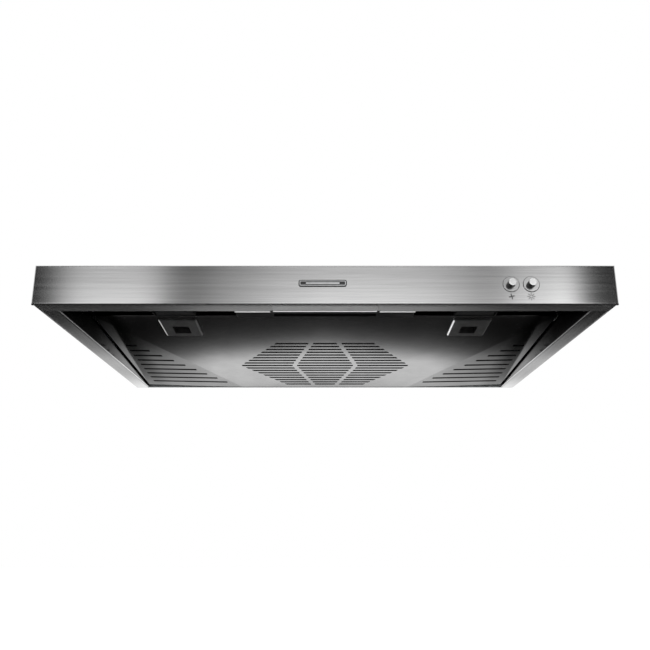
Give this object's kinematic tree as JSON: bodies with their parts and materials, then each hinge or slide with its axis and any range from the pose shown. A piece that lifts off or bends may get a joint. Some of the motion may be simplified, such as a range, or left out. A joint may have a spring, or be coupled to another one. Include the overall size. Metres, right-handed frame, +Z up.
{
  "type": "under cabinet range hood",
  "caption": "Shallow stainless range hood that hangs under a cabinet, with a slotted hinged grille panel, push buttons, lamp, blower and duct collar.",
  "frame": {"origin": "centre of the four cabinet screw slots, on the top face", "axes": "+Z up out of the top face, +Y towards the wall behind, +X to the right of a person facing the hood"},
  "size_m": [0.762, 0.4657, 0.16],
  "materials": {
    "stainless_body": "satin stainless sheet",
    "brushed_fascia": "stainless brushed along its length",
    "stainless_grille": "satin stainless sheet, slotted",
    "galvanised_sheet": "bright galvanised",
    "zinc_screws": "zinc plated",
    "spring_steel": "plain spring steel",
    "shaft_steel": "ground steel",
    "black_enamel": "gloss enamel",
    "chrome_trim": "polished",
    "black_paint": "matt black",
    "black_plastic": "moulded",
    "black_latch": "satin moulded",
    "white_plastic": "moulded",
    "lamp_diffuser": "opal diffuser",
    "circuit_board": "white solder mask",
    "motor_can": "grey enamel",
    "aluminium_flap": "mill finish",
    "filter_aluminium": "mill finish",
    "filter_mesh": "charcoal and mesh mat",
    "black_cable": "sheathed lead",
    "rubber_pads": "soft"
  },
  "bodies": {
    "hood": {"canopy_shell": "stainless_body", "side_panel_left": "stainless_body", "side_panel_right": "stainless_body", "back_panel": "galvanised_sheet", "rear_knockout_plate": "galvanised_sheet", "knockout_screws": "zinc_screws", "front_fascia": "brushed_fascia", "fascia_weld_nuts": "zinc_screws", "fascia_screws": "zinc_screws", "nameplate": "black_enamel", "nameplate_trim": "chrome_trim", "front_baffle": "black_paint", "lamp_housing": "black_plastic", "lamp_lens": "lamp_diffuser", "led_board": "circuit_board", "led_driver": "white_plastic", "switch_bracket": "galvanised_sheet", "fan_button_bezel": "brushed_fascia", "fan_switch": "black_plastic", "light_button_bezel": "brushed_fascia", "light_switch": "black_plastic", "blower_top_plate": "galvanised_sheet", "blower_scroll": "galvanised_sheet", "blower_screws": "zinc_screws", "inlet_ring": "black_plastic", "motor": "motor_can", "capacitor": "white_plastic", "capacitor_clip": "galvanised_sheet", "outlet_plenum": "galvanised_sheet", "duct_collar": "galvanised_sheet", "junction_box": "galvanised_sheet", "junction_box_cover": "galvanised_sheet", "terminal_block": "white_plastic", "motor_lead": "black_cable", "control_lead": "black_cable", "latch_strikes": "black_paint", "panel_bumpers": "rubber_pads", "hinge_brackets": "galvanised_sheet", "hinge_screws": "zinc_screws", "hinge_pins": "shaft_steel"},
    "grille": {"grille_panel": "stainless_grille", "filter_frame": "filter_aluminium", "filter_mesh": "filter_mesh", "filter_clips": "spring_steel", "latch_guide_left": "black_plastic", "latch_guide_right": "black_plastic", "latch_spring_left": "spring_steel", "latch_spring_right": "spring_steel", "hinge_leaves": "spring_steel"},
    "latch_left": {"latch_handle_left": "black_latch", "latch_bolt_left": "black_latch"},
    "latch_right": {"latch_handle_right": "black_latch", "latch_bolt_right": "black_latch"},
    "fan_button": {"fan_button_cap": "chrome_trim"},
    "light_button": {"light_button_cap": "chrome_trim"},
    "fan_wheel": {"impeller": "black_plastic", "impeller_nut": "zinc_screws", "motor_shaft": "shaft_steel"},
    "damper": {"damper_flap": "aluminium_flap"}
  },
  "joints": [
    {"name": "grille_hinge", "type": "hinge", "parent": "hood", "child": "grille", "pos_m": [0, 0.142, -0.1132], "axis": [1, 0, 0], "range_deg": [0, 85]},
    {"name": "latch_left_slide", "type": "slide", "parent": "grille", "child": "latch_left", "axis": [0, 0.9947, -0.1029], "range_m": [0, 0.008], "stiffness_N_per_m": 300, "springref_m": -0.012, "deforming": ["latch_spring_left"]},
    {"name": "latch_right_slide", "type": "slide", "parent": "grille", "child": "latch_right", "axis": [0, 0.9947, -0.1029], "range_m": [0, 0.008], "stiffness_N_per_m": 300, "springref_m": -0.012, "deforming": ["latch_spring_right"]},
    {"name": "fan_button_press", "type": "slide", "parent": "hood", "child": "fan_button", "axis": [0, 1, 0], "range_m": [0, 0.0025], "stiffness_N_per_m": 800, "springref_m": -0.002},
    {"name": "light_button_press", "type": "slide", "parent": "hood", "child": "light_button", "axis": [0, 1, 0], "range_m": [0, 0.0025], "stiffness_N_per_m": 800, "springref_m": -0.002},
    {"name": "fan_spin", "type": "hinge", "parent": "hood", "child": "fan_wheel", "pos_m": [0, -0.031, -0.04], "axis": [0, 0, 1], "continuous": true},
    {"name": "damper_swing", "type": "hinge", "parent": "hood", "child": "damper", "pos_m": [0, 0.068, 0.012], "axis": [1, 0, 0], "range_deg": [0, 75]}
  ]
}
